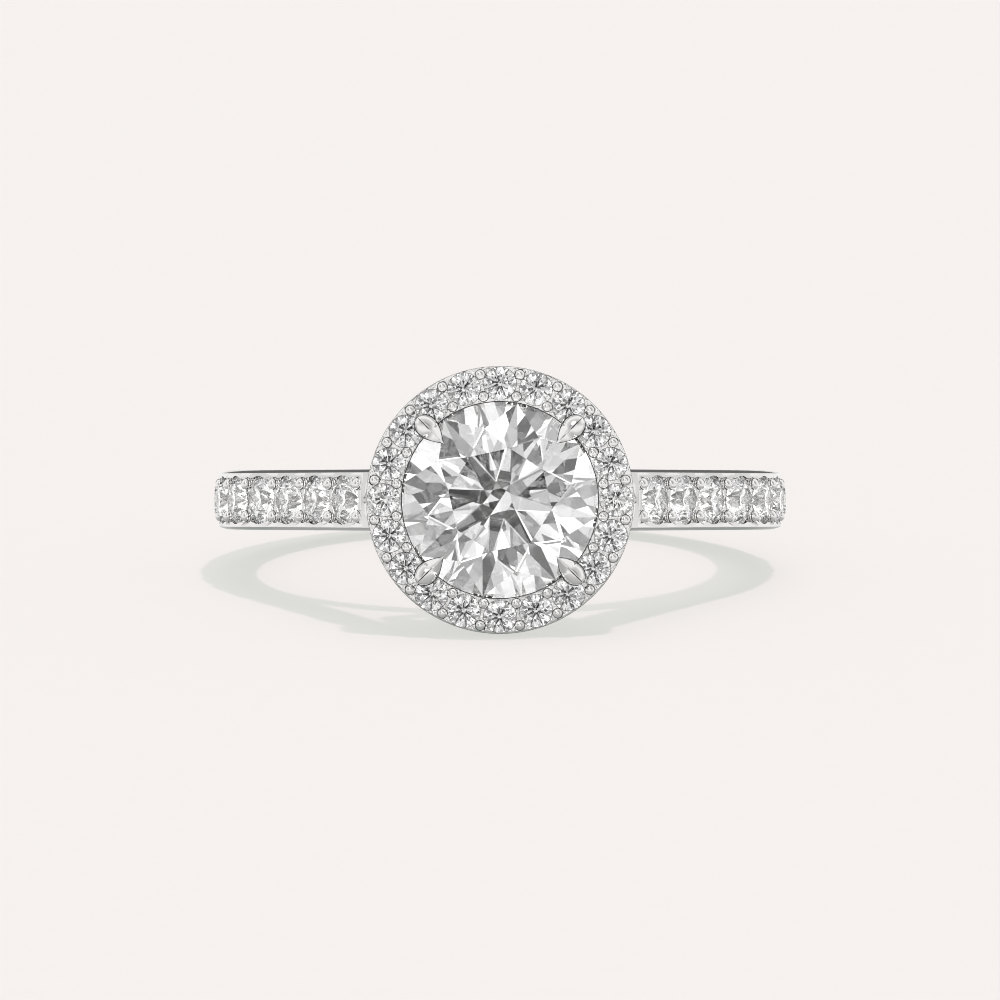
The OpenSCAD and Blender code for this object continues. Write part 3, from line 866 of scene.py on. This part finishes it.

# %% Raise the beads
# Two rings of beads in the halo, the inner one without the bead at each claw, and two lines of
# them down each row. Each bead has its groove, dull and painted dark as a painted shade line.
OUTER_RING, INNER_RING, HALO_BEAD_D = 4.21, 3.47, 0.35
CLAW_EVERY, CLAW_SLOT, NO_SLOT = HALO_COUNT // 4, 2, 99
ROW_BEAD_D, ROW_BEAD_W, ROW_BEAD_LIFT = 0.42, 0.55, 0.01
# The grooves take the dark gold: a painted shade round each bead.
for groove, finish, what, lift in (
        (False, WHITE_GOLD, "beads", 0.02), (True, DULL_GOLD_PAINTED_SHADE, "grooves_painted_shade", 0.01)):
    for name, radius, left_out in (
            ("outer_halo_", OUTER_RING, NO_SLOT), ("inner_halo_", INNER_RING, CLAW_SLOT)):
        bm = bmesh.new()
        bead(bm, HALO_BEAD_D, (0, 0, lift), groove)
        beads = grow(raw_object(name + what, bm), head_tree, {
            "Count": HALO_COUNT, "Radius": radius, "Height": PLATE_TOP,
            "First angle": math.pi / 2 + math.pi / HALO_COUNT, "Left out every": CLAW_EVERY,
            "Left out slot": left_out, "Finish": finish})
        finish_piece(beads, finish, crease=50)
    bm = bmesh.new()
    for w in (-ROW_BEAD_W, ROW_BEAD_W):
        bead(bm, ROW_BEAD_D, (0, w, CHANNEL_DEPTH / 2 + ROW_BEAD_LIFT + lift), groove)
    beads = grow(raw_object("row_" + what, bm), row_tree, {
        "Count a side": ROW_COUNT + 1, "Pitch": ROW_PITCH, "Start": ROW_TOP,
        "Row radius": SHANK_R - CHANNEL_DEPTH, "Shoulder angle": SHOULDER,
        "Arch drop": SHOULDER_SET, "Finish": finish})
    finish_piece(beads, finish, crease=50)

# %% [markdown]
# ## Brilliant cut
#
# A cutter grinds 57 flat facets on a round stone: the table, 8 stars, 8 kites and 16 upper
# halves above the girdle, 16 lower halves and 8 mains below it. The mesh is made the same way:
# a round blank is cut by one plane after another, so each facet is truly flat and the girdle
# keeps its scalloped edge. The centre stone sits a fifth of a degree out of true, which sets
# its arrows a little to one side.


# %% Grind a stone
def grind(bm, one, two, three, middle):
    """Cut away what lies outside the plane through three points."""
    normal = (two - one).cross(three - one).normalized()
    if normal.dot(middle - one) > 0:
        normal = -normal
    cut = bmesh.ops.bisect_plane(
        bm, geom=bm.verts[:] + bm.edges[:] + bm.faces[:], dist=1e-6,
        plane_co=one, plane_no=normal, clear_outer=True)
    edges = [e for e in cut["geom_cut"] if isinstance(e, bmesh.types.BMEdge)]
    if edges:
        bmesh.ops.edgeloop_fill(bm, edges=edges)


def brilliant(d, blank):
    """A brilliant of diameter d, ground from a blank with so many sides."""
    r, crown, girdle, pavilion = d / 2, CROWN * d, GIRDLE * d, PAVILION * d
    table, eighth, half = TABLE * r, math.pi / 4, math.pi / 8
    middle = Vector((0, 0, -girdle / 2))

    def at(radius, angle, h):
        return Vector((radius * math.cos(angle), radius * math.sin(angle), h))

    bm = bmesh.new()
    bmesh.ops.create_cone(bm, cap_ends=True, segments=blank, radius1=r, radius2=r, depth=2 * d)
    bmesh.ops.rotate(bm, matrix=Matrix.Rotation(math.pi / blank, 3, "Z"), verts=bm.verts)
    star_r = table * math.cos(half) + STAR * (r - table * math.cos(half))
    star_h = crown * (r - star_r * math.cos(half)) / (r - table)
    point = Vector((0, 0, -girdle - pavilion))
    grind(bm, at(1, 0, crown), at(1, 2, crown), at(1, 4, crown), middle)
    for k in range(8):
        a = eighth * k
        side = at(1, a + math.pi / 2, 0)
        for edge, end in ((at(r, a, 0), at(table, a, crown)), (at(r, a, -girdle), point)):
            grind(bm, edge, edge + side, end, middle)
    for k in range(8):
        a = eighth * k
        star = at(star_r, a + half, star_h)
        grind(bm, at(table, a, crown), at(table, a + eighth, crown), star, middle)
        rib = at(r, a + half, -girdle - 0.001)
        edge = rib + Vector((0, 0, -pavilion * (1 - math.cos(half))))
        low = point + (1 - LOWER) * (edge - point)
        for h, end in ((0, star), (-girdle, low)):
            for corner in (a, a + eighth):
                grind(bm, at(r, corner, h), at(r, a + half, h), end, middle)
    bmesh.ops.remove_doubles(bm, verts=bm.verts, dist=d * 2e-4)
    bmesh.ops.dissolve_degenerate(bm, dist=d * 1e-4, edges=bm.edges)
    bmesh.ops.recalc_face_normals(bm, faces=bm.faces)
    return bm


# %% Set the centre stone
CENTRE_SPIN, CENTRE_LEAN, CENTRE_SINK = 34.9, (("X", -0.17), ("Y", 0.12)), 0.02
bm = brilliant(CENTRE_D, blank=128)
print("facets and girdle faces of the centre stone:", len(bm.faces))
for axis, degrees in (("Z", CENTRE_SPIN), *CENTRE_LEAN):
    turn = Matrix.Rotation(math.radians(degrees), 3, axis)
    bmesh.ops.rotate(bm, matrix=turn, verts=bm.verts)
bmesh.ops.translate(bm, vec=(0, 0, GIRDLE_H - CENTRE_SINK), verts=bm.verts)
centre = raw_object("centre_brilliant", bm)
finish_piece(centre, CLEAR_DIAMOND, crease=0, nodes=("centre_stone",))

# %% Set the small stones
MOST_SPIN, MOST_LEAN = math.pi / 4, math.radians(1.5)
ROW_SINK = 0.014
melee = grow(raw_object("halo_brilliants", brilliant(HALO_STONE_D, blank=32)), head_tree, {
    "Count": HALO_COUNT, "Radius": HALO_C, "Height": PLATE_TOP, "First angle": math.pi / 2,
    "Most spin": MOST_SPIN, "Most lean": MOST_LEAN, "Seed": 5, "Finish": MELEE_DIAMOND})
finish_piece(melee, MELEE_DIAMOND, crease=0,
             nodes=[f"halo_stone_{k}" for k in range(1, HALO_COUNT + 1)])

melee = grow(raw_object("shank_brilliants", brilliant(ROW_D, blank=32)), row_tree, {
    "Count a side": ROW_COUNT, "Pitch": ROW_PITCH, "Start": ROW_TOP - ROW_PITCH / 2,
    "Row radius": SHANK_R - CHANNEL_DEPTH - ROW_SINK, "Shoulder angle": SHOULDER,
    "Arch drop": SHOULDER_SET, "Most spin": MOST_SPIN, "Most lean": MOST_LEAN,
    "Seed": 8, "Finish": WORN_DIAMOND})
finish_piece(melee, WORN_DIAMOND, crease=0,
             nodes=[f"shank_stone_{k}" for k in range(1, 2 * ROW_COUNT + 1)])

# %% [markdown]
# ## Camera, floor and light
#
# The photograph looks along the ring's plane, straight at the stone, from 22 cm off the middle
# of the finger hole, with a long lens. The floor is a pale matt sweep. In what the metal
# mirrors, the floor is darker near the ring, where the ring keeps the light off.
#
# A studio picture of a jewel is lit twice: with cards round it for the metal, and with others
# for the stone, which needs both light and dark to show its cut. So there are two rooms of soft
# round panels. Rays that have gone through a stone see one, and mirrored rays the other.

# %% Camera
DISTANCE, VIEW_WIDTH = 0.220, 0.035112
eye = bpy.data.cameras.new("camera")
eye.sensor_width = 36
eye.lens = 36 * DISTANCE / VIEW_WIDTH
eye.clip_start, eye.clip_end = 0.01, 100
camera = in_scene("camera", eye)
right = UP.cross(OUT)
camera.matrix_world = Matrix.Translation(HEART + DISTANCE * OUT) @ Matrix(
    (right, UP, OUT)).transposed().to_4x4()
bpy.context.scene.camera = camera
print("lens:", round(eye.lens, 1), "mm")

# %% Floor
# The paper changes its tone by a trace over a millimetre. The ramp is what the metal mirrors
# of the floor, by its distance in metres: a painted shadow darkens it near the ring, and it is
# painted a little darker far off. A colour Mix node has its colours at inputs 6 and 7, and its
# result at output 2.
COLOUR_A, COLOUR_B, COLOUR_OUT = 6, 7, 2
FLOOR_SIZE, GRAIN_SCALE = 6.0, 900.0
MIRRORED_FLOOR_PAINTED_SHADE = ((0.010, "#A4A6A5"), (0.020, "#F4F5F4"), (0.035, "#F4F5F4"), (0.060, "#DADCDB"))
bm = bmesh.new()
bmesh.ops.create_grid(bm, x_segments=8, y_segments=8, size=FLOOR_SIZE)
floor = raw_object("floor", bm)
material, tree, place = new_material("matt_paper_sweep")
grain = add(tree, "ShaderNodeTexNoise", {}, {
    "Vector": place, "Scale": GRAIN_SCALE, "Detail": 2.0})
tone = add(tree, "ShaderNodeMix", {"data_type": "RGBA"}, {
    "Factor": grain.outputs["Fac"], COLOUR_A: rgba("#F1EEEC"), COLOUR_B: rgba("#F2EFED")})
reach = add(tree, "ShaderNodeVectorMath", {"operation": "LENGTH"}, {0: place})
mirrored = add(tree, "ShaderNodeValToRGB", {}, {"Fac": reach.outputs["Value"]})
ramp = mirrored.color_ramp.elements
for k, (metres, hex_code) in enumerate(MIRRORED_FLOOR_PAINTED_SHADE):
    stop = ramp[k] if k < len(ramp) else ramp.new(metres)
    stop.position, stop.color = metres, rgba(hex_code)
# Mirrored rays see the painted shadow and tones of the ramp instead of the paper's own tone.
dimmed = add(tree, "ShaderNodeMix", {"data_type": "RGBA"}, {
    "Factor": add(tree, "ShaderNodeLightPath").outputs["Is Glossy Ray"],
    COLOUR_A: tone.outputs[COLOUR_OUT], COLOUR_B: mirrored.outputs["Color"]})
shader = add(tree, "ShaderNodeBsdfPrincipled", {}, {
    "Base Color": dimmed.outputs[COLOUR_OUT], "Roughness": 1.0, "Specular IOR Level": 0.0})
add(tree, "ShaderNodeOutputMaterial", {}, {"Surface": shader.outputs["BSDF"]})
floor.data.materials.append(material)
floor.visible_transmission = False

# %% The panels of the two rooms
# Each panel: degrees away from the head's line, turn about it, radius, soft edge, tone. A later
# panel hangs in front of an earlier one. What a stone sees to its sides is brighter than what
# it sees ahead, by the two gains, with a soft change between the two cosines of SIDES_AT.
STONE_BASE = 0.26
STONE_PANELS = [
    (95, 0, 45, 15, 1.1), (95, 180, 45, 15, 1.1),
    (4, 112, 29, 3, 0.05), (22, 14, 15, 3, 1.49), (43, 202, 24, 3, 1.04), (70, 90, 33, 12, 1.16),
    (40, 305, 13, 3, 0.0), (71, 171, 9, 3, 0.0), (83, 255, 18, 3, 1.44), (55, 5, 20, 3, 1.03),
    (69, 123, 22, 3, 1.10), (120, 79, 25, 3, 1.83), (25, 247, 3, 5, 2.0), (24, 335, 11, 4, 0.70),
    (48, 40, 6, 3, 0.0), (41, 267, 10, 8, 1.22), (8, 39, 8, 3, 0.84), (85, 90, 22, 3, 0.9),
    (125, 2, 21, 9, 0.85), (44, 324, 8, 3, 0.75), (95, 311, 33, 4, 0.53), (43, 253, 11, 3, 0.01),
    (137, 323, 7, 7, 1.04), (131, 210, 41, 27, 0.78), (22, 189, 9, 3, 0.73), (30, 53, 3, 3, 0.0),
    (34, 284, 18, 3, 0.35), (32, 274, 3, 3, 0.99), (11, 60, 3, 3, 0.0),
]
FRONT_GAIN, SIDE_GAIN, SIDES_AT = 1.03, 2.7, (0.37, 0.62)
METAL_BASE = 0.95
METAL_PANELS = [
    (170, 90, 40, 12, 0.14), (0, 0, 60, 25, 0.62), (0, 0, 46, 8, 0.35),
    (45, 115, 12, 4, 1.5), (0, 0, 26, 6, 1.0), (0, 0, 4, 3, 0.08),
]


def room(tree, gaze, base, panels):
    """The tone that a room shows in a direction."""
    colour = base
    for away, turn, radius, edge, tone in panels:
        a, t = math.radians(away), math.radians(turn)
        aim = OUT * math.cos(a) + (right * math.cos(t) + UP * math.sin(t)) * math.sin(a)
        near = add(tree, "ShaderNodeVectorMath", {"operation": "DOT_PRODUCT"}, {0: gaze, 1: aim})
        mask = add(tree, "ShaderNodeMapRange", {"interpolation_type": "SMOOTHSTEP"}, {
            "Value": near.outputs["Value"], "From Min": math.cos(math.radians(radius + edge)),
            "From Max": math.cos(math.radians(radius))})
        colour = add(tree, "ShaderNodeMix", {}, {
            "Factor": mask.outputs["Result"], "A": colour, "B": tone}).outputs["Result"]
    return colour


# %% Build the rooms
# AMBIENT is the light that the room throws on the floor, and PLAIN the backdrop.
AMBIENT = 0.08
PLAIN = "#F6F2EF"
world = bpy.data.worlds.new("studio")
world.use_nodes = True
tree = world.node_tree
tree.nodes.clear()
gaze = add(tree, "ShaderNodeTexCoord").outputs["Generated"]
gaze = add(tree, "ShaderNodeVectorMath", {"operation": "NORMALIZE"}, {0: gaze}).outputs["Vector"]
path = add(tree, "ShaderNodeLightPath").outputs
ahead = add(tree, "ShaderNodeVectorMath", {"operation": "DOT_PRODUCT"}, {0: gaze, 1: OUT})
sides = add(tree, "ShaderNodeMapRange", {"interpolation_type": "SMOOTHSTEP"}, {
    "Value": ahead.outputs["Value"], "From Min": SIDES_AT[0], "From Max": SIDES_AT[1],
    "To Min": SIDE_GAIN, "To Max": FRONT_GAIN})
lit = add(tree, "ShaderNodeMath", {"operation": "MULTIPLY"}, {
    0: room(tree, gaze, STONE_BASE, STONE_PANELS), 1: sides.outputs["Result"]})
tone = add(tree, "ShaderNodeMix", {}, {
    "Factor": path["Is Transmission Ray"],
    "A": room(tree, gaze, METAL_BASE, METAL_PANELS),
    "B": lit.outputs["Value"]})
seen = add(tree, "ShaderNodeMix", {}, {
    "Factor": path["Is Diffuse Ray"], "A": tone.outputs["Result"], "B": AMBIENT})
grey = add(tree, "ShaderNodeCombineXYZ", {}, {
    axis: seen.outputs["Result"] for axis in ("X", "Y", "Z")})
back = add(tree, "ShaderNodeMix", {"data_type": "RGBA"}, {
    "Factor": path["Is Camera Ray"], COLOUR_A: grey.outputs["Vector"], COLOUR_B: rgba(PLAIN)})
glow = add(tree, "ShaderNodeBackground", {}, {"Color": back.outputs[COLOUR_OUT], "Strength": 1.0})
add(tree, "ShaderNodeOutputWorld", {}, {"Surface": glow.outputs["Background"]})
bpy.context.scene.world = world
print("panels:", len(STONE_PANELS), "for the stones,", len(METAL_PANELS), "for the metal")


# %% The lamps
# The key draws the crisp edge of the shadow. The ceiling stands a little behind the ring and
# draws its soft part. The fill is the big soft box and casts no shadow of its own. Lamps light
# the floor alone: metal and stones mirror the panels.
def hang(name, energy, colour, angle, direction):
    lamp = bpy.data.lights.new(name, "SUN")
    lamp.energy, lamp.color, lamp.angle = energy, colour, math.radians(angle)
    thing = in_scene(name, lamp)
    thing.rotation_mode = "QUATERNION"
    thing.rotation_quaternion = Vector(direction).to_track_quat("Z", "Y")
    thing.visible_glossy = thing.visible_transmission = False
    return lamp


hang("key", 0.47, (1.0, 0.76, 0.86), 4, (0.178, -0.08, 1.0))
hang("ceiling", 0.16, (1.0, 0.90, 0.95), 40, (0.0, 0.25, 1.0))
fill = hang("fill", 2.39, (0.997, 1.03, 1.0038), 30, (0.0, -0.1, 1.0))
fill.use_shadow = False
if hasattr(fill, "cycles") and hasattr(fill.cycles, "cast_shadow"):
    fill.cycles.cast_shadow = False

# %% How light travels
view = bpy.context.scene.view_settings
view.view_transform, view.look, view.exposure, view.gamma = "Standard", "None", 0.0, 1.0
cycles = bpy.context.scene.cycles
cycles.max_bounces, cycles.transmission_bounces, cycles.glossy_bounces = 24, 20, 10
cycles.caustics_reflective = cycles.caustics_refractive = False
cycles.filter_width = 1.0
